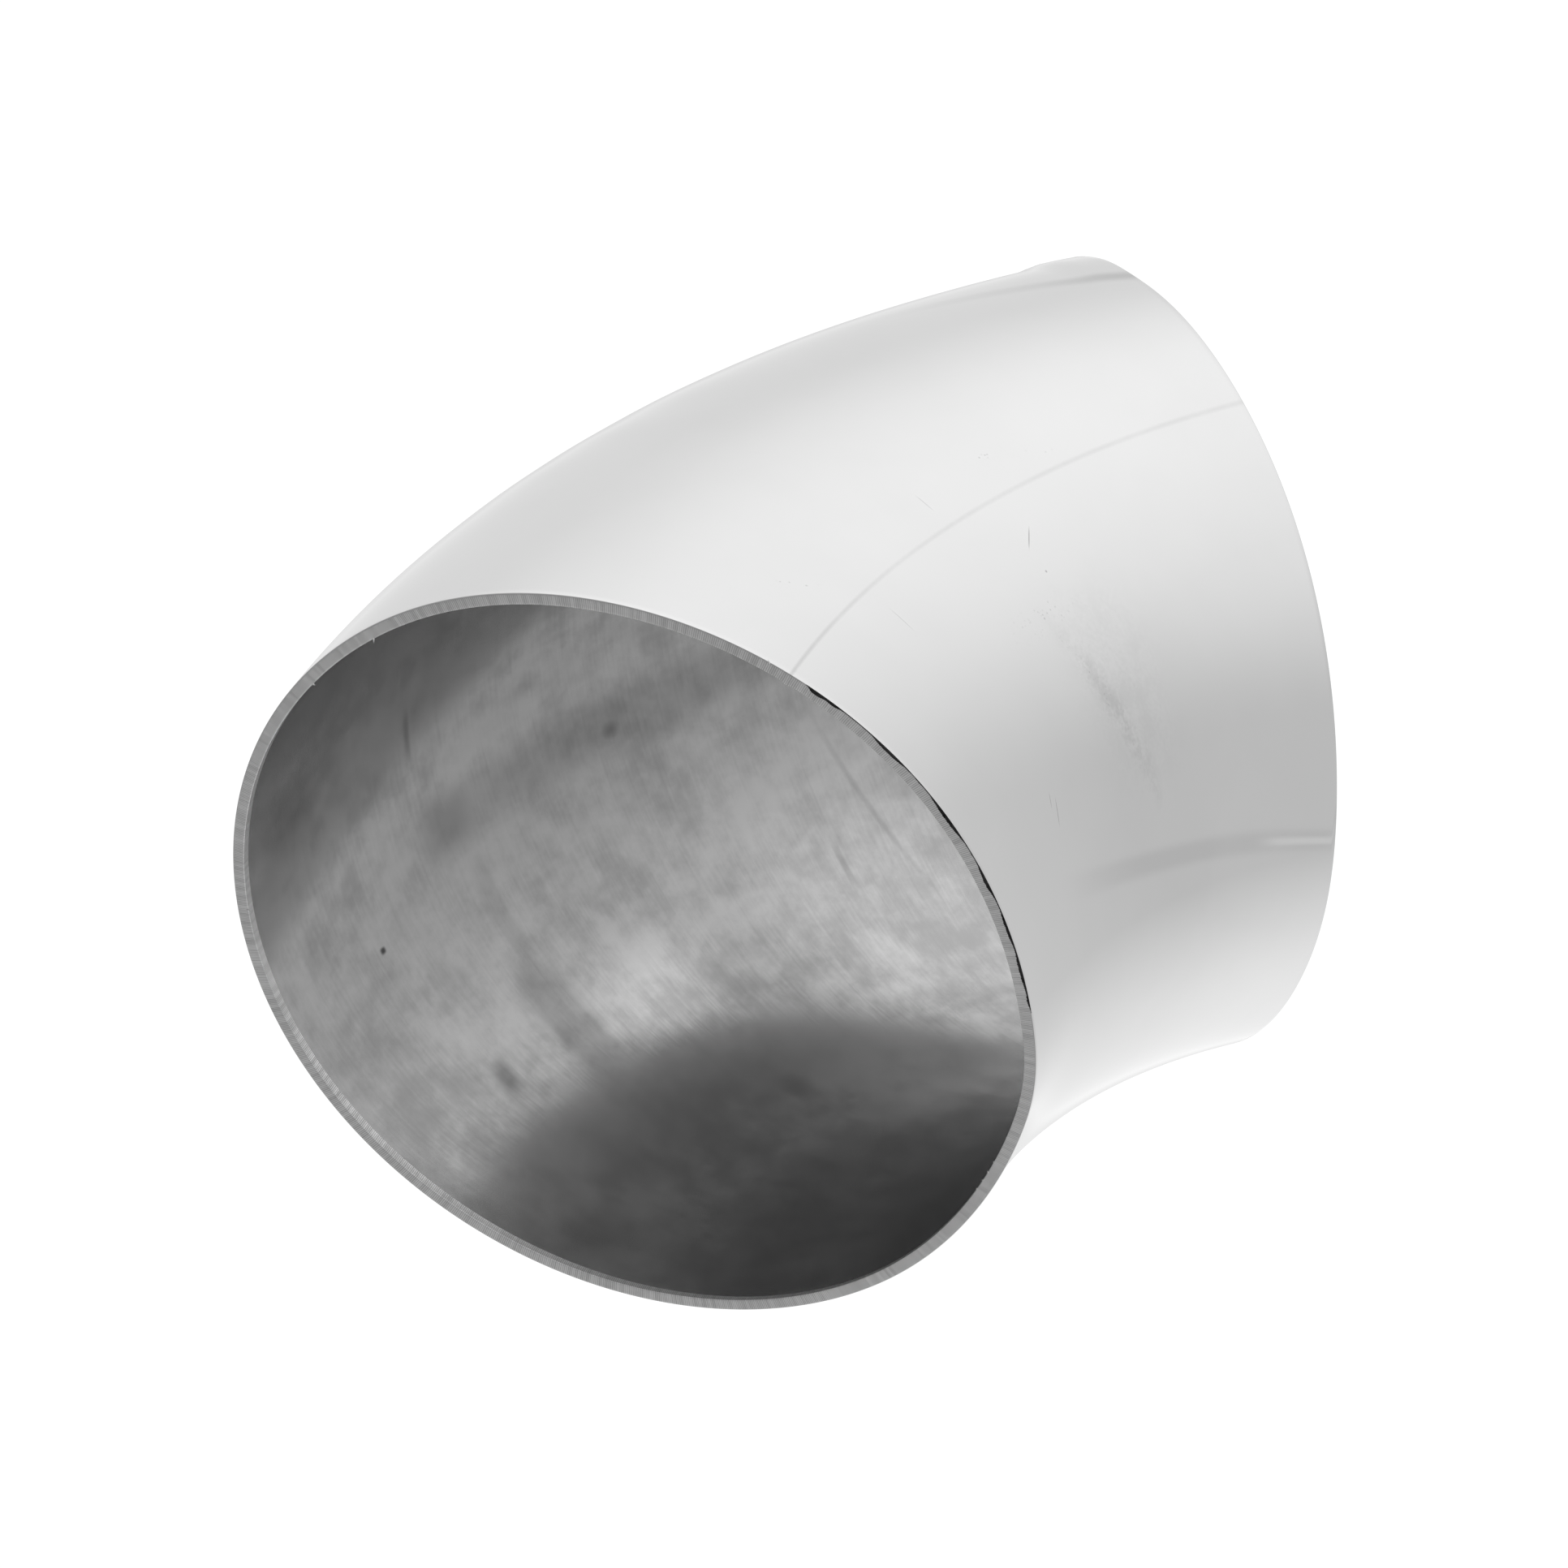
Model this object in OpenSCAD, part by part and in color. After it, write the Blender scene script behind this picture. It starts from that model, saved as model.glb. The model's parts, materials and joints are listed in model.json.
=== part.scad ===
// Plain-ended flue elbow, formed from stainless tube with one lengthwise weld.
// Both ends are cut square for butt welding to straight tube of the same size.
// The inlet rim stands on z = 0 with its centre at the origin.
// The flow rises along +Z and the bend leans it towards +X.

/* [Tube] */
// Outside diameter of the tube
tube_od = 101.6; // [40:0.1:200]
// Wall thickness of the tube
wall = 1.5; // [0.8:0.05:4]

/* [Bend] */
// Radius of the bend, measured to the tube's centreline
bend_r = 123; // [60:1:320]
// Angle between the inlet rim and the outlet rim
bend_angle = 45; // [15:1:90]

/* [Seam weld] */
// Place of the seam around the tube, from the inside of the bend towards +Y
seam_angle = 69.5; // [0:0.5:180]
// Width of the weld between the two edges of the strip
seam_w = 1.2; // [0.6:0.05:3]
// Height of the weld's root above the surface of the bore
root_h = 0.25; // [0.1:0.01:0.5]

/* [Hidden] */
$fn = 144;

tube_r = tube_od / 2;
bore_r = tube_r - wall;
// The root bead's arc rises by root_h over a chord as wide as the seam
bead_r = (pow(seam_w / 2, 2) + pow(root_h, 2)) / (2 * root_h);

steel_colour = [0.80, 0.81, 0.82];
weld_colour = [0.70, 0.71, 0.73];

// Sweeps a cross-section, drawn about the tube's centre, from the inlet to the outlet
module sweep_bend() {
  translate([bend_r, 0, 0])
    rotate([90, 0, 180])
      rotate_extrude(angle = bend_angle)
        translate([bend_r, 0])
          children();
}

// Turns a shape that is drawn along the section's X axis to the place of the seam
module at_seam() {
  rotate(180 - seam_angle)
    children();
}

// The gap between the strip's two edges, from inside the bore to the outside of the tube
module seam_gap() {
  at_seam()
    translate([bore_r - 2 * root_h, -seam_w / 2])
      square([wall + 3 * root_h, seam_w]);
}

// The rounded bead that the weld leaves along the bore
module root_bead() {
  at_seam()
    translate([bore_r - root_h + bead_r, 0])
      circle(r = bead_r);
}

// Stainless strip rolled to a tube, open along the seam, and formed to the bend
module formed_tube() {
  color(steel_colour)
    sweep_bend()
      difference() {
        circle(r = tube_r);
        circle(r = bore_r);
        seam_gap();
      }
}

// Lengthwise weld, ground flush outside, with its root bead left in the bore
module seam_weld() {
  color(weld_colour)
    sweep_bend()
      difference() {
        intersection() {
          circle(r = tube_r);
          seam_gap();
        }
        difference() {
          circle(r = bore_r);
          root_bead();
        }
      }
}

formed_tube();
seam_weld();
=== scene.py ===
import json
import math

import bpy
import numpy as np
from mathutils import Matrix, Vector, noise


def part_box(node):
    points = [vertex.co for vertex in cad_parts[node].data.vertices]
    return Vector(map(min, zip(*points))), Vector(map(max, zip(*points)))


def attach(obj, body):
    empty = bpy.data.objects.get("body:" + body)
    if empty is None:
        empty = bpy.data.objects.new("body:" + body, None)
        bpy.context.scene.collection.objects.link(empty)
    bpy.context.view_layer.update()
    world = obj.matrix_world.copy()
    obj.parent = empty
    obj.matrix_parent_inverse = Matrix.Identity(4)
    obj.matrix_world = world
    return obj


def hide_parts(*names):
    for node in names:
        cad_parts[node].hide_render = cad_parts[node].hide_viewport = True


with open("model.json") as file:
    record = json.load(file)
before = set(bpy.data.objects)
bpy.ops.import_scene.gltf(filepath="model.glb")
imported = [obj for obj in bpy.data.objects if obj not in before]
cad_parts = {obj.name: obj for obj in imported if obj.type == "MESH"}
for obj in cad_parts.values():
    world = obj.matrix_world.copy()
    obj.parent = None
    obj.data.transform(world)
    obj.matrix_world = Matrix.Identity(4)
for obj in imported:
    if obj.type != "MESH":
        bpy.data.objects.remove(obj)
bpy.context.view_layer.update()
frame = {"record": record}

MM = 0.001
DEG = math.pi / 180
FULL_TURN = 2 * math.pi

# ---------------------------------------------------------------- the elbow's own sizes, from the frame
# The frame doesn't state the wall: this is the same value as in part.scad.
mounts = {m["name"]: m for m in frame["record"]["mounts"]}
OUTLET = Vector(mounts["outlet_rim"]["pos_m"])
OUTLET_AXIS = Vector(mounts["outlet_rim"]["axis"])
BEND_ANGLE = math.acos(OUTLET_AXIS.z)
BEND_RADIUS = OUTLET.z / math.sin(BEND_ANGLE)
TUBE_RADIUS = (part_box("formed_tube")[1].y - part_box("formed_tube")[0].y) / 2
WALL = 1.5 * MM
TUBE_LENGTH = BEND_RADIUS * BEND_ANGLE

# ---------------------------------------------------------------- seam
SEAM_AT_INLET = 72.0 * DEG
SEAM_DRIFT = -5.7 * DEG
SEAM_RETURN = 3.5 * DEG
SEAM_WIDTH = 1.2 * MM
HALF_GAP = SEAM_WIDTH / 2 / TUBE_RADIUS
SEAM_HOLLOW = 0.004 * MM
SEAM_HOLLOW_REACH = 1.2 * MM
ROOT_HEIGHT = 0.25 * MM
ROOT_RIPPLE = 0.03 * MM
ROOT_RIPPLE_PITCH = 1.1 * MM

# ---------------------------------------------------------------- forming
# Swellings and dents of the section: centre and half width in degrees, place and length as shares, height.
INLET_SPRINGBACK = (
    (52, 20, 0.0, 0.35, 0.50 * MM),
    (14, 16, 0.0, 0.35, -0.45 * MM),
    (340, 24, 0.0, 0.40, -0.85 * MM),
)
OUTLET_SPRINGBACK = (
    (24, 18, 1.0, 0.30, -0.30 * MM),
    (336, 18, 1.0, 0.30, -0.35 * MM),
    (0, 10, 1.0, 0.25, 0.40 * MM),
    (120, 22, 1.0, 0.30, 0.28 * MM),
)
FORMING_RIPPLES = (
    (121, 14, 0.50, 0.05, 0.10 * MM),
    (122, 14, 0.61, 0.04, 0.12 * MM),
    (125, 14, 0.69, 0.04, 0.10 * MM),
)
# The inlet's edge flares over one stretch: a gentle swell, and a step that rises between two shares.
FLARE_SWELL = (122, 12, 0.0, 0.13, 0.34 * MM)
FLARE_CENTRE = 121 * DEG
FLARE_HALF_WIDTH = 13 * DEG
FLARE_HEIGHT = 0.46 * MM
FLARE_STARTS, FLARE_FULL = 0.060, 0.032

# ---------------------------------------------------------------- the wall's mesh
POLISHED, BORE, RIM = 0, 1, 2
OUTER_EDGE = 0.14 * MM
INNER_EDGE = 0.10 * MM
CORNER_STEPS = 3
RIM_STEPS = 5
STATIONS = 112
COLUMNS_PLAIN = 300
COLUMNS_BY_SEAM = 16
COLUMNS_ON_WELD = 11
SEAM_BAND = 5 * MM


def seam_place(share):
    """Angle of the seam from the inside of the bend towards +Y, at a share of the tube's length."""
    return SEAM_AT_INLET + SEAM_DRIFT * share + SEAM_RETURN * share ** 2


def on_tube(share, around, radius, lift=0.0):
    """Points of the bent tube.

    share is along its length from the inlet, around is the angle from the inside of the bend, radius is the
    distance from its centreline, and lift is a small length added along it.
    """
    turn = share * BEND_ANGLE + lift / BEND_RADIUS
    inward = radius * np.cos(around)
    x = BEND_RADIUS - (BEND_RADIUS - inward) * np.cos(turn)
    z = (BEND_RADIUS - inward) * np.sin(turn)
    y = radius * np.sin(around)
    return np.stack(np.broadcast_arrays(x, y, z), axis=-1)


def ring_distance(around, centre):
    """Signed angle between two places round the tube."""
    return np.mod(around - centre + math.pi, FULL_TURN) - math.pi


def bump(around, share, centre, half_width, at, length, height):
    """A smooth local swelling, or a dent where the height is negative; its angles are in degrees."""
    across = ring_distance(around, centre * DEG) / (half_width * DEG)
    lengthwise = (share - at) / length
    return height * np.exp(-across ** 2 - lengthwise ** 2)


def bumps(around, share, rows):
    """Several bumps added up; each row holds what bump takes after the place."""
    return sum(bump(around, share, *row) for row in rows)


def inlet_flare(share, around):
    """The stretch of the inlet's edge that stands out, with a quick rise towards the rim."""
    rise = np.clip((FLARE_STARTS - share) / (FLARE_STARTS - FLARE_FULL), 0, 1)
    across = ring_distance(around, FLARE_CENTRE) / FLARE_HALF_WIDTH
    step = FLARE_HEIGHT * rise ** 2 * (3 - 2 * rise) * np.exp(-across ** 4)
    return bump(around, share, *FLARE_SWELL) + step


def out_of_round(share, around):
    """How far the formed tube departs from a true circle: springback, a flare and forming ripples."""
    ends = bumps(around, share, INLET_SPRINGBACK) + bumps(around, share, OUTLET_SPRINGBACK)
    return ends + inlet_flare(share, around) + bumps(around, share, FORMING_RIPPLES)


def new_piece(name, points, faces, materials, material_of_face=None, flat_from=None):
    """A mesh object that rides with the part's one body; faces from flat_from on keep hard edges."""
    mesh = bpy.data.meshes.new(name)
    mesh.from_pydata([tuple(p) for p in points], [], [tuple(int(i) for i in f) for f in faces])
    for material in materials:
        mesh.materials.append(material)
    if material_of_face is not None:
        mesh.polygons.foreach_set("material_index", np.asarray(material_of_face, np.int32))
    smooth = np.ones(len(mesh.polygons), bool)
    if flat_from is not None:
        smooth[flat_from:] = False
    mesh.polygons.foreach_set("use_smooth", smooth)
    mesh.validate()
    mesh.update()
    piece = bpy.data.objects.new(name, mesh)
    bpy.context.scene.collection.objects.link(piece)
    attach(piece, "root")
    return piece


# ---------------------------------------------------------------- node helpers
def link(tree, source, target):
    tree.links.new(source, target)


def feed(tree, value, socket):
    """Gives a socket its value: a link where the value is a socket itself, a setting where it is plain."""
    if isinstance(value, bpy.types.NodeSocket):
        link(tree, value, socket)
    else:
        socket.default_value = value


def math_node(tree, operation, a, b=None, c=None, clamp=False):
    """A Math node whose inputs are sockets or plain values; gives back its output."""
    node = tree.nodes.new("ShaderNodeMath")
    node.operation = operation
    node.use_clamp = clamp
    for socket, value in zip(node.inputs, (a, b, c)):
        if value is not None:
            feed(tree, value, socket)
    return node.outputs[0]


def plus(tree, a, b):
    return math_node(tree, "ADD", a, b)


def minus(tree, a, b):
    return math_node(tree, "SUBTRACT", a, b)


def times(tree, a, b):
    return math_node(tree, "MULTIPLY", a, b)


def combine(tree, x, y, z):
    node = tree.nodes.new("ShaderNodeCombineXYZ")
    for socket, value in zip(node.inputs, (x, y, z)):
        feed(tree, value, socket)
    return node.outputs[0]


def map_range(tree, value, low, high, to_low=0.0, to_high=1.0, smooth=True):
    """Carries a value from one range to another and holds it there, with a smooth or a straight passage."""
    node = tree.nodes.new("ShaderNodeMapRange")
    node.interpolation_type = "SMOOTHSTEP" if smooth else "LINEAR"
    for socket, number in zip(node.inputs, (value, low, high, to_low, to_high)):
        feed(tree, number, socket)
    return node.outputs[0]


def noise_node(tree, vector, scale, detail, roughness, distortion=0.0):
    node = tree.nodes.new("ShaderNodeTexNoise")
    node.inputs["Roughness"].default_value = roughness
    node.inputs["Distortion"].default_value = distortion
    feed(tree, detail, node.inputs["Detail"])
    feed(tree, scale, node.inputs["Scale"])
    link(tree, vector, node.inputs["Vector"])
    return node.outputs["Fac"]


def new_group(name, inputs, outputs):
    """A shader node group with named sockets; gives back the group with its input and output nodes."""
    group = bpy.data.node_groups.new(name, "ShaderNodeTree")
    for label, kind, value in inputs:
        socket = group.interface.new_socket(name=label, in_out="INPUT", socket_type=kind)
        if value is not None:
            socket.default_value = value
    for label, kind in outputs:
        group.interface.new_socket(name=label, in_out="OUTPUT", socket_type=kind)
    return group, group.nodes.new("NodeGroupInput"), group.nodes.new("NodeGroupOutput")


def place_group(tree, group, **values):
    """Places a group in a material; keyword names use _ for a space."""
    node = tree.nodes.new("ShaderNodeGroup")
    node.node_tree = group
    for label, value in values.items():
        feed(tree, value, node.inputs[label.replace("_", " ")])
    return node


# ---------------------------------------------------------------- shared effects
def unbent_tube_group():
    """Straightens the bend, so that a pattern can follow the tube.

    Straight is the place across the section and along the tube, Ring is a circle of radius 1 round it.
    """
    group, given, made = new_group(
        "Unbent Tube",
        [("Bend Radius", "NodeSocketFloat", BEND_RADIUS)],
        [("Straight", "NodeSocketVector"), ("Along", "NodeSocketFloat"), ("Around", "NodeSocketFloat"),
         ("Ring", "NodeSocketVector")],
    )
    bend_radius = given.outputs["Bend Radius"]
    split = group.nodes.new("ShaderNodeSeparateXYZ")
    link(group, group.nodes.new("ShaderNodeTexCoord").outputs["Object"], split.inputs[0])
    x, y, z = split.outputs
    to_centre = minus(group, bend_radius, x)
    turn = math_node(group, "ARCTAN2", z, to_centre)
    along = times(group, turn, bend_radius)
    to_centre_squared = math_node(group, "POWER", to_centre, 2.0)
    z_squared = math_node(group, "POWER", z, 2.0)
    reach = math_node(group, "SQRT", plus(group, to_centre_squared, z_squared))
    inward = minus(group, bend_radius, reach)
    around = math_node(group, "ARCTAN2", y, inward)
    ring = combine(group, math_node(group, "COSINE", around), math_node(group, "SINE", around), 0.0)
    link(group, combine(group, inward, y, along), made.inputs["Straight"])
    link(group, along, made.inputs["Along"])
    link(group, around, made.inputs["Around"])
    link(group, ring, made.inputs["Ring"])
    return group


def mottle_group():
    """Cloudy variation at two sizes, from 0 to 1 about a middle of one half."""
    group, given, made = new_group(
        "Cloudy Mottle",
        [("Vector", "NodeSocketVector", None), ("Large Scale", "NodeSocketFloat", 30.0),
         ("Small Scale", "NodeSocketFloat", 250.0), ("Fine Share", "NodeSocketFloat", 0.4)],
        [("Mottle", "NodeSocketFloat")],
    )
    place = given.outputs["Vector"]
    large = noise_node(group, place, given.outputs["Large Scale"], 3.0, 0.55, 0.4)
    small = noise_node(group, place, given.outputs["Small Scale"], 4.0, 0.6, 0.2)
    mix = group.nodes.new("ShaderNodeMix")
    link(group, given.outputs["Fine Share"], mix.inputs[0])
    link(group, large, mix.inputs[2])
    link(group, small, mix.inputs[3])
    link(group, mix.outputs[0], made.inputs["Mottle"])
    return group


def hoop_streak_group():
    """Short streaks that run round the tube, as forming rollers leave them: 0 to 1 about one half."""
    group, given, made = new_group(
        "Hoop Streaks",
        [("Ring", "NodeSocketVector", None), ("Along", "NodeSocketFloat", 0.0),
         ("Streaks Round", "NodeSocketFloat", 10.0), ("Streaks Along", "NodeSocketFloat", 1500.0),
         ("Detail", "NodeSocketFloat", 3.0)],
        [("Streaks", "NodeSocketFloat")],
    )
    ring = group.nodes.new("ShaderNodeVectorMath")
    ring.operation = "SCALE"
    link(group, given.outputs["Ring"], ring.inputs[0])
    link(group, given.outputs["Streaks Round"], ring.inputs["Scale"])
    along = times(group, given.outputs["Along"], given.outputs["Streaks Along"])
    place = group.nodes.new("ShaderNodeVectorMath")
    link(group, ring.outputs[0], place.inputs[0])
    link(group, combine(group, 0.0, 0.0, along), place.inputs[1])
    streaks = noise_node(group, place.outputs[0], 1.0, given.outputs["Detail"], 0.6)
    link(group, streaks, made.inputs["Streaks"])
    return group


def speck_group():
    """Small scattered specks or pits, 1 at a speck's middle."""
    group, given, made = new_group(
        "Scattered Specks",
        [("Vector", "NodeSocketVector", None), ("Scale", "NodeSocketFloat", 120.0),
         ("Size", "NodeSocketFloat", 0.08), ("Kept", "NodeSocketFloat", 0.2)],
        [("Specks", "NodeSocketFloat")],
    )
    cells = group.nodes.new("ShaderNodeTexVoronoi")
    link(group, given.outputs["Vector"], cells.inputs["Vector"])
    link(group, given.outputs["Scale"], cells.inputs["Scale"])
    split = group.nodes.new("ShaderNodeSeparateXYZ")
    link(group, cells.outputs["Color"], split.inputs[0])
    kept = math_node(group, "LESS_THAN", split.outputs[0], given.outputs["Kept"])
    size = times(group, given.outputs["Size"], plus(group, split.outputs[1], 0.3))
    out_from_middle = math_node(group, "DIVIDE", cells.outputs["Distance"], size)
    dot = math_node(group, "SUBTRACT", 1.0, out_from_middle, clamp=True)
    link(group, times(group, dot, kept), made.inputs["Specks"])
    return group


def soft_patch_group():
    """One patch with a soft edge at a set place along and round the tube, 1 in its middle."""
    group, given, made = new_group(
        "Soft Patch",
        [("Along", "NodeSocketFloat", 0.0), ("Around", "NodeSocketFloat", 0.0),
         ("Patch Along", "NodeSocketFloat", 0.0), ("Patch Around", "NodeSocketFloat", 0.0),
         ("Half Length", "NodeSocketFloat", 0.01), ("Half Width", "NodeSocketFloat", 0.2),
         ("Slant", "NodeSocketFloat", 0.0), ("Softness", "NodeSocketFloat", 0.5)],
        [("Patch", "NodeSocketFloat")],
    )
    squareness = 3.0

    def far(distance, half_size):
        share = math_node(group, "ABSOLUTE", math_node(group, "DIVIDE", distance, half_size))
        return math_node(group, "POWER", share, squareness)

    far_along = minus(group, given.outputs["Along"], given.outputs["Patch Along"])
    far_around = minus(group, given.outputs["Around"], given.outputs["Patch Around"])
    slanted = minus(group, far_around, times(group, far_along, given.outputs["Slant"]))
    wrapped = math_node(group, "WRAP", slanted, math.pi, -math.pi)
    out_along = far(far_along, given.outputs["Half Length"])
    out_around = far(wrapped, given.outputs["Half Width"])
    both = plus(group, out_along, out_around)
    reach = math_node(group, "POWER", both, 1 / squareness)
    outer = plus(group, 1.0, given.outputs["Softness"])
    inner = minus(group, 1.0, given.outputs["Softness"])
    link(group, map_range(group, reach, outer, inner), made.inputs["Patch"])
    return group


UNBENT = unbent_tube_group()
MOTTLE = mottle_group()
STREAKS = hoop_streak_group()
SPECKS = speck_group()
PATCH = soft_patch_group()


def mottle_on(tree, tube, large_scale, small_scale, fine_share):
    node = place_group(
        tree, MOTTLE, Vector=tube.outputs["Straight"],
        Large_Scale=large_scale, Small_Scale=small_scale, Fine_Share=fine_share)
    return node.outputs[0]


def streaks_on(tree, tube, along, streaks_round, streaks_along, detail):
    node = place_group(
        tree, STREAKS, Ring=tube.outputs["Ring"], Along=along,
        Streaks_Round=streaks_round, Streaks_Along=streaks_along, Detail=detail)
    return node.outputs[0]


def specks_on(tree, tube, scale, size, kept):
    node = place_group(tree, SPECKS, Vector=tube.outputs["Straight"], Scale=scale, Size=size, Kept=kept)
    return node.outputs[0]


def patch_on(tree, tube, share, around, half_length, half_width, slant, softness):
    """A soft patch at a share of the tube's length and an angle in degrees; half sizes in mm and degrees."""
    node = place_group(
        tree, PATCH, Along=tube.outputs["Along"], Around=tube.outputs["Around"],
        Patch_Along=share * TUBE_LENGTH, Patch_Around=around * DEG,
        Half_Length=half_length * MM, Half_Width=half_width * DEG, Slant=slant, Softness=softness)
    return node.outputs[0]


def add_up(tree, masks):
    """The sum of several masks, each with its strength, held to 1 at most."""
    total = None
    for mask, strength in masks:
        part = times(tree, mask, strength)
        total = part if total is None else plus(tree, total, part)
    return math_node(tree, "MINIMUM", total, 1.0)


def patches_on(tree, tube, rows):
    """Several soft patches added up: each row holds what patch_on takes, then the patch's strength."""
    return add_up(tree, [(patch_on(tree, tube, *row[:-1]), row[-1]) for row in rows])


# ---------------------------------------------------------------- finishes
EDGE_TINT = (0.86, 0.86, 0.86, 1)
POLISH_GREY = (0.585, 0.605)
POLISH_ROUGHNESS = (0.06, 0.10)
MARK_ROUGHNESS = 0.35
BORE_METALLIC = 0.82
BORE_GREY = (0.250, 0.368)
BORE_ROUGHNESS = (0.27, 0.20)
BORE_TONE = (0.37, 0.61)
RIM_GREY = (0.50, 0.80)
RIM_ROUGHNESS = (0.52, 0.38)
# The torn lip's near-black grey is painted shade, the shadow under the lip.
TORN_LIP_PAINTED_SHADE_GREY = (0.006, 0.06)
TORN_ROUGHNESS = (0.6, 0.4)
ROOT_GREY = (0.34, 0.50)
ROOT_ROUGHNESS = (0.34, 0.22)
MOTTLE_SPAN = (0.3, 0.7)

# The number of teeth round the rim, about 0.25 mm apart, and how many share one uneven patch.
SAW_TEETH = 1270
TEETH_IN_A_PATCH = 16
SAW_SMEAR = 6.0

# Patches: share of the length, angle, half length in mm, half width in degrees, slant, softness, strength.
SCUFF = (
    (0.483, 36.9, 3.0, 5.0, 45.0, 0.95, 0.55),
    (0.45, 40.0, 7.0, 11.0, 0.0, 0.95, 0.30),
)
RUBS = (
    (0.495, 40.0, 2.4, 3.5, 45.0, 0.9, 0.7),
    (0.535, 52.8, 5.5, 1.6, 0.0, 0.8, 0.9),
    (0.418, 76.5, 2.3, 0.45, 4.0, 0.6, 1.0),
    (0.843, 77.9, 2.8, 0.5, 21.0, 0.6, 1.0),
    (0.35, 74.0, 2.5, 0.6, 6.0, 0.7, 0.6),
)
SCRATCHES = (
    (0.460, 63.0, 1.0, 0.13, -18.0, 0.6, 1.0),
    (0.722, 30.7, 0.7, 0.16, -35.0, 0.6, 1.0),
    (0.728, 32.6, 0.4, 0.14, -35.0, 0.6, 0.8),
    (0.763, 63.7, 0.07, 1.7, 0.0, 0.6, 0.4),
    (0.558, 74.6, 0.08, 1.3, 0.0, 0.6, 0.4),
)
# A soft dark line along the top of the outside, darker near the inlet's rim: a painted reflection of a dark
# line.
PAINTED_REFLECTION_LINE_SLANT = 43 * DEG / TUBE_LENGTH
PAINTED_REFLECTION_LINE = (0.05, 107.6, 15.0, 1.5, PAINTED_REFLECTION_LINE_SLANT, 0.95)
PAINTED_REFLECTION_LINE_END = (0.0, 105.5, 6.0, 1.3, PAINTED_REFLECTION_LINE_SLANT, 0.95)
# Darker patches in the bore: partly real stains, partly painted shade where the bore's reflection of the far
# opening's light is dim.
BORE_STAINS_AND_PAINTED_SHADE = (
    (0.680, 240.0, 2.9, 9.5, 0.0, 0.34, 0.27),  # a squared-off band
    (0.65, 273.0, 16.0, 13.0, 0.0, 0.95, 0.20),
    (0.95, 277.0, 9.0, 13.0, 0.0, 0.95, 0.22),
    (0.63, 177.0, 12.0, 11.0, 0.0, 0.95, 0.18),
    (0.183, 233.0, 2.3, 1.7, -96.0, 0.8, 0.19),
    (0.247, 239.5, 0.35, 2.6, 0.0, 0.7, 0.30),
    (0.672, 222.0, 1.1, 9.0, 0.0, 0.6, 0.14),
    (0.46, 204.0, 22.0, 4.4, 0.0, 0.6, 0.25),  # a long streak down the bore
    (0.69, 204.5, 3.2, 4.2, 0.0, 0.7, 0.26),
    (0.804, 239.6, 1.2, 2.2, 0.0, 0.7, 0.45),
    (0.834, 213.0, 0.35, 0.45, 0.0, 0.6, 0.85),  # a black speck
    (0.527, 270.1, 1.4, 2.4, 0.0, 0.9, 0.20),
    (0.918, 182.3, 3.0, 5.0, 0.0, 0.8, 0.30),
    (0.717, 187.0, 0.35, 3.4, 0.0, 0.8, 0.28),
    (0.93, 264.0, 3.5, 5.0, 0.0, 0.7, 0.20),
)
# Brighter, smoother patches in the bore: partly rubbed wear, partly painted light from the far opening.
BORE_WEAR_AND_PAINTED_LIGHT = (
    (0.17, 252.0, 16.0, 18.0, 0.0, 0.8, 0.34),
    (0.57, 247.0, 7.0, 9.0, 0.0, 0.85, 0.42),
    (0.86, 240.0, 16.0, 24.0, 0.0, 0.9, 0.09),
)


def new_material(name, metallic=1.0):
    """A metal; gives back the material, its node tree, its shader and the tube's straightened places."""
    material = bpy.data.materials.new(name)
    material.use_nodes = True
    tree = material.node_tree
    shader = tree.nodes["Principled BSDF"]
    shader.inputs["Metallic"].default_value = metallic
    return material, tree, shader, place_group(tree, UNBENT)


def grey_from(tree, value):
    """A grey colour from one value."""
    node = tree.nodes.new("ShaderNodeCombineColor")
    for socket in node.inputs[:3]:
        link(tree, value, socket)
    return node.outputs[0]


def bump_from(tree, shader, height, distance, strength=1.0):
    node = tree.nodes.new("ShaderNodeBump")
    node.inputs["Strength"].default_value = strength
    node.inputs["Distance"].default_value = distance
    link(tree, height, node.inputs["Height"])
    link(tree, node.outputs[0], shader.inputs["Normal"])


def polish_finish(tree, shader, tube, marks):
    """Near-mirror polish with a faint cloud of haze; marks darken and roughen it, and on the outside they
    include a painted reflection line.
    """
    haze = mottle_on(tree, tube, 26.0, 110.0, 0.25)
    clean = map_range(tree, haze, *MOTTLE_SPAN, *POLISH_GREY)
    marked = times(tree, clean, minus(tree, 1.0, marks))
    link(tree, grey_from(tree, marked), shader.inputs["Base Color"])
    shader.inputs["Specular Tint"].default_value = EDGE_TINT
    hazy = map_range(tree, haze, 0.35, 0.75, *POLISH_ROUGHNESS)
    link(tree, plus(tree, hazy, times(tree, marks, MARK_ROUGHNESS)), shader.inputs["Roughness"])
    return haze


def mottled_finish(tree, shader, mottle, grey, roughness, strength):
    """Bare dull metal whose grey, roughness and grain all follow one mottle."""
    link(tree, grey_from(tree, map_range(tree, mottle, *MOTTLE_SPAN, *grey)), shader.inputs["Base Color"])
    link(tree, map_range(tree, mottle, *MOTTLE_SPAN, *roughness), shader.inputs["Roughness"])
    bump_from(tree, shader, mottle, 0.02 * MM, strength)


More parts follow.
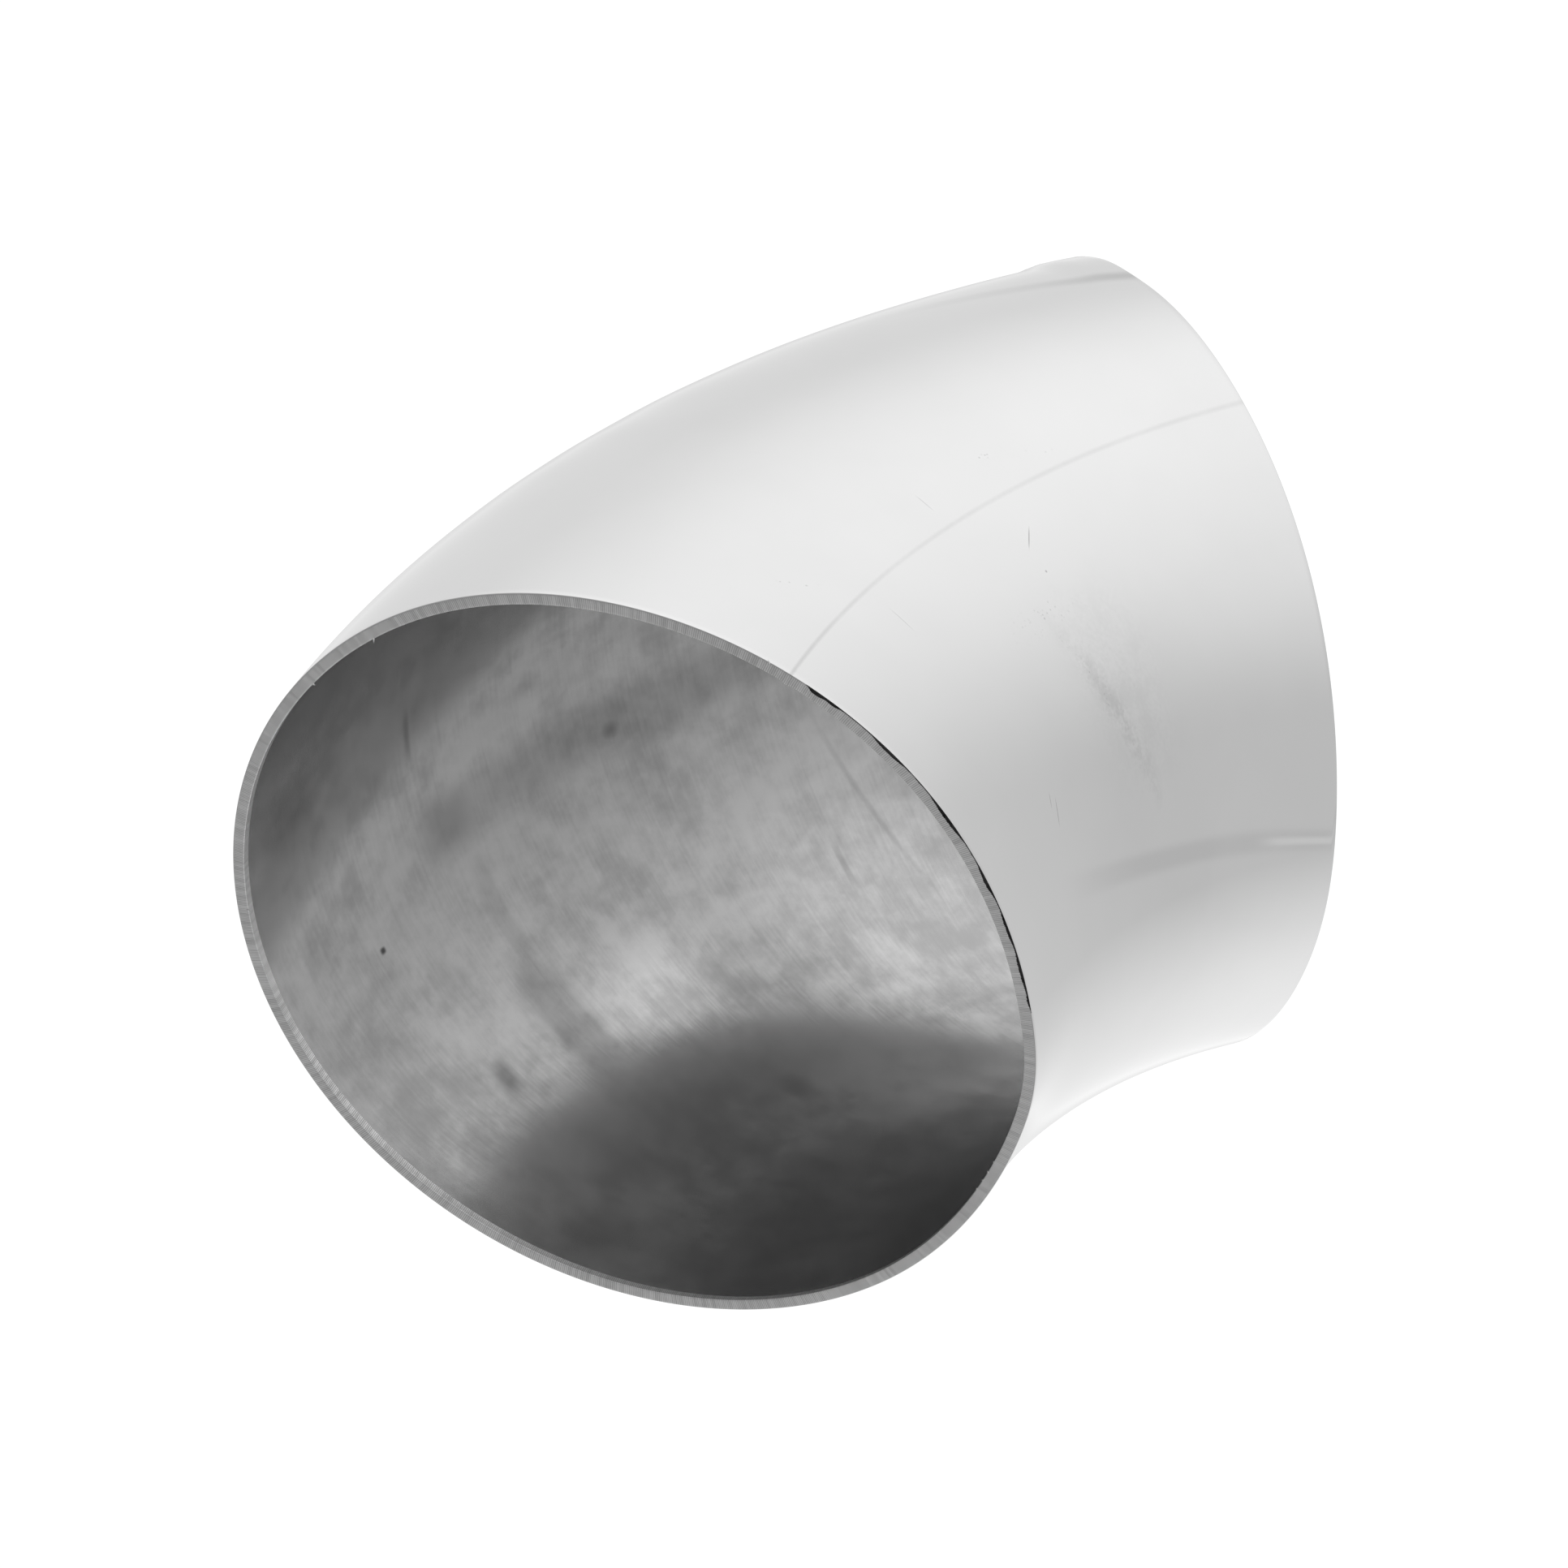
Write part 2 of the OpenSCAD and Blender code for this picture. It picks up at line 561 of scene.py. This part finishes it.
def polished_outside_material():
    """The tube's outside: polished, with pits, a scuff, rubs, fine scratches and a soft dark line that is a
    painted reflection.
    """
    material, tree, shader, tube = new_material("polished_outside")
    pits = specks_on(tree, tube, 150.0, 0.045, 0.10)
    fine_specks = specks_on(tree, tube, 2400.0, 0.42, 0.40)
    scuff_grain = mottle_on(tree, tube, 300.0, 1700.0, 0.45)
    scuff = times(tree, patches_on(tree, tube, SCUFF), map_range(tree, scuff_grain, 0.36, 0.62))
    rubbed_specks = times(tree, fine_specks, patches_on(tree, tube, RUBS))
    scratches = patches_on(tree, tube, SCRATCHES)
    # The dark line along the top is a painted reflection, not a mark in the metal.
    painted_reflection_line = patch_on(tree, tube, *PAINTED_REFLECTION_LINE)
    painted_reflection_line_end = patch_on(tree, tube, *PAINTED_REFLECTION_LINE_END)
    marks = add_up(tree, [
        (pits, 0.55), (rubbed_specks, 0.30), (scuff, 0.22), (scratches, 0.35),
        (painted_reflection_line, 0.13), (painted_reflection_line_end, 0.13)])
    haze = polish_finish(tree, shader, tube, marks)
    bump_from(tree, shader, minus(tree, times(tree, haze, 0.1), marks), 0.012 * MM)
    return material


def dull_bore_material():
    """The bore: dull metal with hoop-wise forming marks, specks, darker patches that are partly real staining
    and partly painted shade, and brighter patches that are partly rubbed wear and partly painted light.
    """
    material, tree, shader, tube = new_material("dull_bore", BORE_METALLIC)
    along = tube.outputs["Along"]
    clouds = mottle_on(tree, tube, 38.0, 135.0, 0.45)
    flecks = streaks_on(tree, tube, along, 11.0, 300.0, 4.0)
    lines = streaks_on(tree, tube, along, 5.0, 2600.0, 3.0)
    specks = specks_on(tree, tube, 110.0, 0.16, 0.07)
    # Darker patches: partly real stains, partly painted shade.
    stains_and_painted_shade = patches_on(tree, tube, BORE_STAINS_AND_PAINTED_SHADE)
    # Brighter patches: partly rubbed wear, partly painted light.
    wear_and_painted_light = patches_on(tree, tube, BORE_WEAR_AND_PAINTED_LIGHT)
    tone = add_up(tree, [(clouds, 0.60), (flecks, 0.29), (lines, 0.11)])
    cleaned = map_range(tree, tone, *BORE_TONE, *BORE_GREY)
    worn_with_painted_light_and_shade = times(tree, cleaned, minus(tree, plus(tree, 1.0, wear_and_painted_light), stains_and_painted_shade))
    grey = times(tree, worn_with_painted_light_and_shade, minus(tree, 1.0, times(tree, specks, 0.5)))
    link(tree, grey_from(tree, grey), shader.inputs["Base Color"])
    smoother = minus(tree, 1.0, times(tree, wear_and_painted_light, 0.9))
    dull = map_range(tree, tone, *BORE_TONE, *BORE_ROUGHNESS)
    link(tree, times(tree, dull, smoother), shader.inputs["Roughness"])
    bump_from(tree, shader, add_up(tree, [(flecks, 0.4), (lines, 0.4)]), 0.02 * MM, 0.5)
    return material


def sawn_rim_material():
    """Bare saw cut: fine teeth straight across the wall, uneven in pitch and smeared in places."""
    material, tree, shader, tube = new_material("sawn_rim")
    smear = mottle_on(tree, tube, 70.0, 800.0, 0.5)
    turns = plus(tree, times(tree, tube.outputs["Around"], SAW_TEETH), times(tree, smear, SAW_SMEAR))
    teeth = map_range(tree, math_node(tree, "SINE", turns), -1.0, 1.0, smooth=False)
    uneven = streaks_on(tree, tube, 0.0, SAW_TEETH / TEETH_IN_A_PATCH, 0.0, 3.0)
    tone = add_up(tree, [(teeth, 0.20), (uneven, 0.50), (smear, 0.30)])
    link(tree, grey_from(tree, map_range(tree, tone, 0.34, 0.66, *RIM_GREY)), shader.inputs["Base Color"])
    link(tree, map_range(tree, tone, 0.35, 0.65, *RIM_ROUGHNESS), shader.inputs["Roughness"])
    bump_from(tree, shader, add_up(tree, [(teeth, 0.5), (uneven, 0.5)]), 0.03 * MM, 0.6)
    return material


def torn_lip_painted_shade_material():
    """The rough underside of metal the saw tore over, coloured near-black as painted shade: the shadow under
    the torn lip.
    """
    material, tree, shader, tube = new_material("torn_lip_painted_shade")
    mottle = mottle_on(tree, tube, 300.0, 2500.0, 0.5)
    mottled_finish(tree, shader, mottle, TORN_LIP_PAINTED_SHADE_GREY, TORN_ROUGHNESS, 0.6)
    return material


def root_bead_material():
    """The weld's root in the bore: dull and grainy; its ripples are in the mesh."""
    material, tree, shader, tube = new_material("weld_root")
    mottle = mottle_on(tree, tube, 160.0, 1400.0, 0.5)
    mottled_finish(tree, shader, mottle, ROOT_GREY, ROOT_ROUGHNESS, 0.5)
    return material


def weld_material():
    """The weld's cap, polished with the tube; its duller middle line narrows and darkens to the outlet."""
    material, tree, shader, tube = new_material("ground_weld")
    share = math_node(tree, "DIVIDE", tube.outputs["Along"], TUBE_LENGTH)
    drift = plus(tree, times(tree, share, SEAM_RETURN), SEAM_DRIFT)
    middle = plus(tree, times(tree, drift, share), SEAM_AT_INLET)
    off_middle = math_node(tree, "ABSOLUTE", minus(tree, tube.outputs["Around"], middle))
    across = times(tree, off_middle, TUBE_RADIUS)
    cloud = mottle_on(tree, tube, 140.0, 900.0, 0.4)
    half_line = map_range(tree, share, 0.0, 1.0, 0.66 * MM, 0.40 * MM, smooth=False)
    line = map_range(tree, across, half_line, 0.0)
    strength = map_range(tree, share, 0.70, 1.0, 0.085, 0.18)
    marks = times(tree, times(tree, line, strength), map_range(tree, cloud, 0.3, 0.6, 0.7, 1.1))
    polish_finish(tree, shader, tube, marks)
    bump_from(tree, shader, cloud, 0.004 * MM, 0.5)
    return material


# ---------------------------------------------------------------- the formed tube and its weld
def wall_outline():
    """The wall's lengthwise outline, once round.

    Each row is the share of the length, the lift past it, the depth below the outside, and the finish.
    """
    corner = [math.pi / 2 * i / CORNER_STEPS for i in range(CORNER_STEPS + 1)]
    rim_depths = np.linspace(OUTER_EDGE, WALL - INNER_EDGE, RIM_STEPS + 1)[1:-1]
    rim_depths_back = np.linspace(WALL - INNER_EDGE, OUTER_EDGE, RIM_STEPS + 1)[1:-1]
    shares = np.linspace(0.0, 1.0, STATIONS)
    outline = []
    for share in shares[1:-1]:
        outline.append((share, 0.0, 0.0, POLISHED))
    for angle in corner:
        lift, depth = -OUTER_EDGE * (1 - math.sin(angle)), OUTER_EDGE * (1 - math.cos(angle))
        outline.append((1.0, lift, depth, POLISHED))
    for depth in rim_depths:
        outline.append((1.0, 0.0, depth, RIM))
    for angle in corner:
        lift, depth = -INNER_EDGE * (1 - math.cos(angle)), WALL - INNER_EDGE * (1 - math.sin(angle))
        outline.append((1.0, lift, depth, RIM))
    for share in shares[::-1][1:-1]:
        outline.append((share, 0.0, WALL, BORE))
    for angle in corner:
        lift, depth = INNER_EDGE * (1 - math.sin(angle)), WALL - INNER_EDGE * (1 - math.cos(angle))
        outline.append((0.0, lift, depth, BORE))
    for depth in rim_depths_back:
        outline.append((0.0, 0.0, depth, RIM))
    for angle in corner:
        lift, depth = OUTER_EDGE * (1 - math.cos(angle)), OUTER_EDGE * (1 - math.sin(angle))
        outline.append((0.0, lift, depth, POLISHED))
    return outline


def columns_round():
    """Places from one edge of the seam round to the other, 0 to 1, closer together beside the seam."""
    band = SEAM_BAND / (FULL_TURN * TUBE_RADIUS)
    near = band * np.linspace(0, 1, COLUMNS_BY_SEAM, endpoint=False) ** 1.5
    middle = np.linspace(band, 1 - band, COLUMNS_PLAIN)
    return np.concatenate([near, middle, 1 - near[::-1]])


def flank_faces(rows, points_before):
    """The two lengthwise faces that close a swept wall, on points of their own, and each face's finish."""
    plain = STATIONS - 2
    bore_start = plain + (rows - 2 * plain) // 2
    faces, kinds = [], []
    for side, order in ((points_before, 1), (points_before + rows, -1)):
        for i in range(plain - 1):
            quad = (i, i + 1, bore_start + plain - 2 - i, bore_start + plain - 1 - i)
            faces.append(tuple(q + side for q in quad[::order]))
            kinds.append(BORE)
        for first, last in ((plain - 1, bore_start), (bore_start + plain - 1, rows)):
            end = [q % rows + side for q in range(first, last + 1)]
            faces.append(tuple(end[::order]))
            kinds.append(RIM)
    return faces, kinds


def sweep_wall(name, from_seam, materials, root=0.0):
    """The wall's outline swept round the tube, from the first to the last angle off the seam's middle."""
    outline = wall_outline()
    share, lift, depth = (np.array([row[i] for row in outline])[:, None] for i in range(3))
    offset = from_seam[None, :]
    around = seam_place(share) + offset
    to_seam = np.abs(ring_distance(offset, 0.0)) * TUBE_RADIUS
    radius = TUBE_RADIUS + out_of_round(share, around)
    radius = radius - SEAM_HOLLOW * np.exp(-(to_seam / SEAM_HOLLOW_REACH) ** 2) - depth
    if root:
        ripple = ROOT_RIPPLE * np.sin(share * TUBE_LENGTH / ROOT_RIPPLE_PITCH)
        crown = 1 - (to_seam / (SEAM_WIDTH / 2)) ** 2
        # The power keeps the bead to the bore: it fades out quickly through the wall.
        radius = radius - (root + ripple) * crown * (depth / WALL) ** 4
    grid = on_tube(share, around, radius, lift)
    rows, width = len(outline), len(from_seam)
    points = np.concatenate([grid.reshape(-1, 3), grid[:, 0], grid[:, -1]])
    faces, kinds = [], []
    for r in range(rows):
        n = (r + 1) % rows
        for c in range(width - 1):
            faces.append((r * width + c, r * width + c + 1, n * width + c + 1, n * width + c))
            kinds.append(max(outline[r][3], outline[n][3]))
    flanks, flank_kinds = flank_faces(rows, rows * width)
    return new_piece(name, points, faces + flanks, materials, kinds + flank_kinds, flat_from=len(faces))


def make_formed_tube(materials):
    """The rolled strip, open along the seam."""
    from_seam = HALF_GAP + columns_round() * (FULL_TURN - 2 * HALF_GAP)
    piece = sweep_wall("formed_tube_shell", from_seam, materials)
    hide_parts("formed_tube")


def make_seam_weld(materials):
    """The weld: a cap ground flush, ends cut with the rims, and a rounded root bead in the bore."""
    from_seam = np.linspace(-HALF_GAP, HALF_GAP, COLUMNS_ON_WELD)
    piece = sweep_wall("ground_seam_weld", from_seam, materials, ROOT_HEIGHT)
    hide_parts("seam_weld")


# ---------------------------------------------------------------- what the saw left on the outlet's edges
LIP_START, LIP_END = 67.5 * DEG, 11.5 * DEG
LIP_STEPS = 620
LIP_BELOW_EDGE = 0.015 * MM
LIP_LEAST_WIDTH = 0.02
# Where the lip is torn wider: angle and half length in degrees, extra width in mm.
TORN_STRETCHES = (
    (65.8, 1.5, 0.44), (63.2, 1.0, 0.26), (54.0, 2.4, 0.32), (42.3, 2.9, 0.36),
    (32.2, 2.0, 0.34), (24.5, 2.4, 0.24), (18.0, 2.8, 0.26), (13.0, 1.4, 0.18),
)
# Burrs: angle in degrees, whether on the inner edge, length in mm, lean round the edge in mm.
BURRS = (
    (72.9, False, 0.55, 0.30), (132.0, True, 0.75, 0.35),
    (145.5, True, 0.55, -0.25), (189.5, True, 0.70, 0.40),
    (338.5, True, 0.30, 0.20), (340.6, True, 0.38, -0.15),
    (342.3, True, 0.34, 0.20), (344.4, True, 0.26, 0.15),
)
BURR_RINGS = 7
BURR_CORNERS = 6


def outlet_edge_radius(around):
    return TUBE_RADIUS + out_of_round(1.0, around)


def waver(around, rate, y, z):
    """Smooth random numbers round the edge, the same on every run; y and z choose which."""
    return np.array([noise.noise(Vector((a * rate, y, z))) for a in around])


def lip_width(around):
    """The torn lip's width: it wavers slowly and quickly, is toothed, and is torn wide in places."""
    along = (around - LIP_END) / (LIP_START - LIP_END)
    slow = waver(around, 9, 3.1, 0.0)
    quick = waver(around, 70, 0.0, 5.3)
    teeth = waver(around, 420, 7.7, 0.0)
    width = 0.06 + 0.05 * slow + 0.05 * quick + 0.16 * np.abs(teeth) * (1.3 - along)
    for middle, spread, torn in TORN_STRETCHES:
        width += torn * np.exp(-np.abs((around / DEG - middle) / spread) ** 3)
    width *= np.clip(along / 0.03, 0, 1) * np.clip((1 - along) / 0.015, 0, 1)
    return np.maximum(width, LIP_LEAST_WIDTH) * MM


def make_torn_lip(material):
    """A ragged lip of torn metal, pressed flat over part of the outlet's outer edge; its near-black colour is
    painted shade.
    """
    around = np.linspace(LIP_START, LIP_END, LIP_STEPS)
    width = lip_width(around)
    outer = outlet_edge_radius(around)
    section = (
        (outer - LIP_BELOW_EDGE, -0.06 * MM),
        (outer - LIP_BELOW_EDGE - 0.03 * MM, 0.02 * MM),
        (outer - LIP_BELOW_EDGE - width, 0.03 * MM),
        (outer - LIP_BELOW_EDGE - width, -0.03 * MM),
    )
    corners = len(section)
    rings = [on_tube(1.0, around, radius, lift) for radius, lift in section]
    points = np.stack(rings, axis=1).reshape(-1, 3)
    faces = []
    for i in range(LIP_STEPS - 1):
        for k in range(corners):
            n = (k + 1) % corners
            faces.append((i * corners + k, i * corners + n, (i + 1) * corners + n, (i + 1) * corners + k))
    faces.append(tuple(range(corners))[::-1])
    faces.append(tuple((LIP_STEPS - 1) * corners + k for k in range(corners)))
    piece = new_piece("torn_lip", points, faces, [material], flat_from=0)


def burr_points(centre, inner, length, lean):
    """Rings of points along one curled sliver, from its root inside the metal to its tip."""
    edge = outlet_edge_radius(centre * DEG) - (WALL if inner else 0.0)
    out = -1 if inner else 1
    points = []
    for i in range(BURR_RINGS):
        step = i / (BURR_RINGS - 1)
        thick = (0.13 * (1 - step) + 0.02) * MM
        radius = edge + out * length * MM * (step - 0.25) * (1 - 0.35 * step)
        lift = (0.30 * math.sin(math.pi * 0.75 * step) * length - 0.05) * MM
        middle = centre * DEG + lean * MM * step ** 1.5 / TUBE_RADIUS
        for k in range(BURR_CORNERS):
            angle = FULL_TURN * k / BURR_CORNERS
            around = middle + thick * math.cos(angle) / TUBE_RADIUS
            points.append(on_tube(1.0, around, radius, lift + thick * math.sin(angle)))
    return points


def burr_faces(base, order):
    """The faces of one burr whose first point is base; order turns them to face outwards."""
    faces = []
    for i in range(BURR_RINGS - 1):
        ring, following = base + i * BURR_CORNERS, base + (i + 1) * BURR_CORNERS
        for k in range(BURR_CORNERS):
            n = (k + 1) % BURR_CORNERS
            faces.append((ring + k, ring + n, following + n, following + k)[::order])
    tip = base + (BURR_RINGS - 1) * BURR_CORNERS
    faces.append(tuple(base + k for k in range(BURR_CORNERS))[::-order])
    faces.append(tuple(tip + k for k in range(BURR_CORNERS))[::order])
    return faces


def make_edge_burrs(material):
    """The small curled slivers, as one piece."""
    points, faces = [], []
    for centre, inner, length, lean in BURRS:
        faces += burr_faces(len(points), -1 if inner else 1)
        points += burr_points(centre, inner, length, lean)
    piece = new_piece("edge_burrs", points, faces, [material])


# ---------------------------------------------------------------- studio
CAMERA_PLACE = Vector((0.51624, 0.42220, 0.31166))
CAMERA_AIM = Vector((0.011880, 0.001880, 0.055780))
CAMERA_TOP = Vector((-0.5667, 0.8000, -0.1971))
CAMERA_LENS = 132.24
CAMERA_SENSOR = 36.0
CAMERA_NEAR, CAMERA_FAR = 0.01, 20.0
WHITE = 1.05
FLOOR_HALF = 4.0
FLOOR_LEVEL = -0.02 * MM


def make_camera():
    data = bpy.data.cameras.new("camera")
    data.lens = CAMERA_LENS
    data.sensor_width = CAMERA_SENSOR
    data.clip_start, data.clip_end = CAMERA_NEAR, CAMERA_FAR
    camera = bpy.data.objects.new("camera", data)
    forward = (CAMERA_AIM - CAMERA_PLACE).normalized()
    right = forward.cross(CAMERA_TOP).normalized()
    top = right.cross(forward)
    turn = Matrix((right, top, -forward)).transposed()
    camera.matrix_world = Matrix.Translation(CAMERA_PLACE) @ turn.to_4x4()
    bpy.context.scene.collection.objects.link(camera)
    bpy.context.scene.camera = camera


def make_floor():
    """A plain white floor that glows like a light table, so the part throws no shadow on it."""
    material = bpy.data.materials.new("white_floor")
    material.use_nodes = True
    tree = material.node_tree
    tree.nodes.remove(tree.nodes["Principled BSDF"])
    glow = tree.nodes.new("ShaderNodeEmission")
    glow.inputs["Strength"].default_value = WHITE
    link(tree, glow.outputs[0], tree.nodes["Material Output"].inputs["Surface"])
    corners = [(x * FLOOR_HALF, y * FLOOR_HALF, FLOOR_LEVEL) for x, y in ((-1, -1), (1, -1), (1, 1), (-1, 1))]
    mesh = bpy.data.meshes.new("floor")
    mesh.from_pydata(corners, [], [(0, 1, 2, 3)])
    mesh.materials.append(material)
    floor = bpy.data.objects.new("floor", mesh)
    floor.visible_glossy = False
    floor.visible_diffuse = False
    floor.visible_shadow = False
    bpy.context.scene.collection.objects.link(floor)


# The tent's brightness: its level, how much it gains overhead (+Y), below (-Y) and to the left (-X), and
# the share that is left in front of the outlet (+Z).
TENT_LEVEL = 0.82
TENT_OVERHEAD = 0.45
TENT_BELOW = 0.55
TENT_LEFT = 0.32
TENT_IN_FRONT = 0.42
# A gap between two panels behind the part: the plane where y, with a lean in x and z, is -GAP_PLACE.
# It is dark, with a sliver of light in it.
GAP_LEAN_X, GAP_LEAN_Z = 0.18, 0.139
GAP_PLACE = 0.327
GAP_SHADE = 0.11
SLIVER_PLACE = 0.003
SLIVER_LIGHT = 0.22
# The side the tent is open towards, which is darker.
OPEN_SIDE = (-0.716, -0.597, -0.363)
OPEN_SIDE_SHADE = 0.28


def tent_panels(tree, x, y, z):
    """The tent's smooth brightness: brighter towards +Y, -Y and -X, dim in front of the outlet."""
    overhead = map_range(tree, y, 0.1, 0.9, 0.0, TENT_OVERHEAD)
    below = map_range(tree, y, -0.45, -1.0, 0.0, TENT_BELOW, smooth=False)
    left = map_range(tree, x, 0.4, -1.0, 0.0, TENT_LEFT, smooth=False)
    level = plus(tree, plus(tree, overhead, below), plus(tree, left, TENT_LEVEL))
    return times(tree, level, map_range(tree, z, 0.0, 0.35, 1.0, TENT_IN_FRONT))


def tent_gap(tree, x, y, z):
    """What the gap and its sliver of light do to the brightness, as a factor about 1."""
    leaning = plus(tree, plus(tree, y, times(tree, x, GAP_LEAN_X)), times(tree, z, GAP_LEAN_Z))
    off_gap = plus(tree, leaning, GAP_PLACE)
    off_sliver = plus(tree, off_gap, SLIVER_PLACE)
    in_gap = map_range(tree, math_node(tree, "ABSOLUTE", off_gap), 0.065, 0.02)
    in_sliver = map_range(tree, math_node(tree, "ABSOLUTE", off_sliver), 0.022, 0.008)
    shade = times(tree, in_gap, map_range(tree, x, 0.10, 0.40))
    sliver = times(tree, in_sliver, map_range(tree, x, 0.64, 0.70))
    behind = map_range(tree, z, -0.2, -0.5)
    change = minus(tree, times(tree, sliver, SLIVER_LIGHT), times(tree, shade, GAP_SHADE))
    return plus(tree, 1.0, times(tree, change, behind))


def tent_opening(tree, x, y, z):
    """How much the open side takes from the brightness, as a factor."""
    over_y_and_z = plus(tree, times(tree, y, OPEN_SIDE[1]), times(tree, z, OPEN_SIDE[2]))
    facing = plus(tree, times(tree, x, OPEN_SIDE[0]), over_y_and_z)
    return minus(tree, 1.0, map_range(tree, facing, 0.955, 0.998, 0.0, OPEN_SIDE_SHADE))


def make_soft_light():
    """A soft white tent all round the part; the camera itself sees plain white."""
    world = bpy.data.worlds.new("white_tent")
    bpy.context.scene.world = world
    world.use_nodes = True
    tree = world.node_tree
    split = tree.nodes.new("ShaderNodeSeparateXYZ")
    link(tree, tree.nodes.new("ShaderNodeTexCoord").outputs["Generated"], split.inputs[0])
    axes = split.outputs
    tent = times(tree, tent_panels(tree, *axes), tent_gap(tree, *axes))
    tent = times(tree, tent, tent_opening(tree, *axes))
    strength = tree.nodes.new("ShaderNodeMix")
    link(tree, tree.nodes.new("ShaderNodeLightPath").outputs["Is Camera Ray"], strength.inputs[0])
    link(tree, tent, strength.inputs[2])
    strength.inputs[3].default_value = WHITE
    background = tree.nodes["Background"]
    background.inputs["Color"].default_value = (1, 1, 1, 1)
    link(tree, strength.outputs[0], background.inputs["Strength"])


sawn_rim = sawn_rim_material()
make_formed_tube([polished_outside_material(), dull_bore_material(), sawn_rim])
make_seam_weld([weld_material(), root_bead_material(), sawn_rim])
make_torn_lip(torn_lip_painted_shade_material())
make_edge_burrs(sawn_rim)
make_camera()
make_floor()
make_soft_light()
bpy.context.scene.view_settings.view_transform = "Standard"
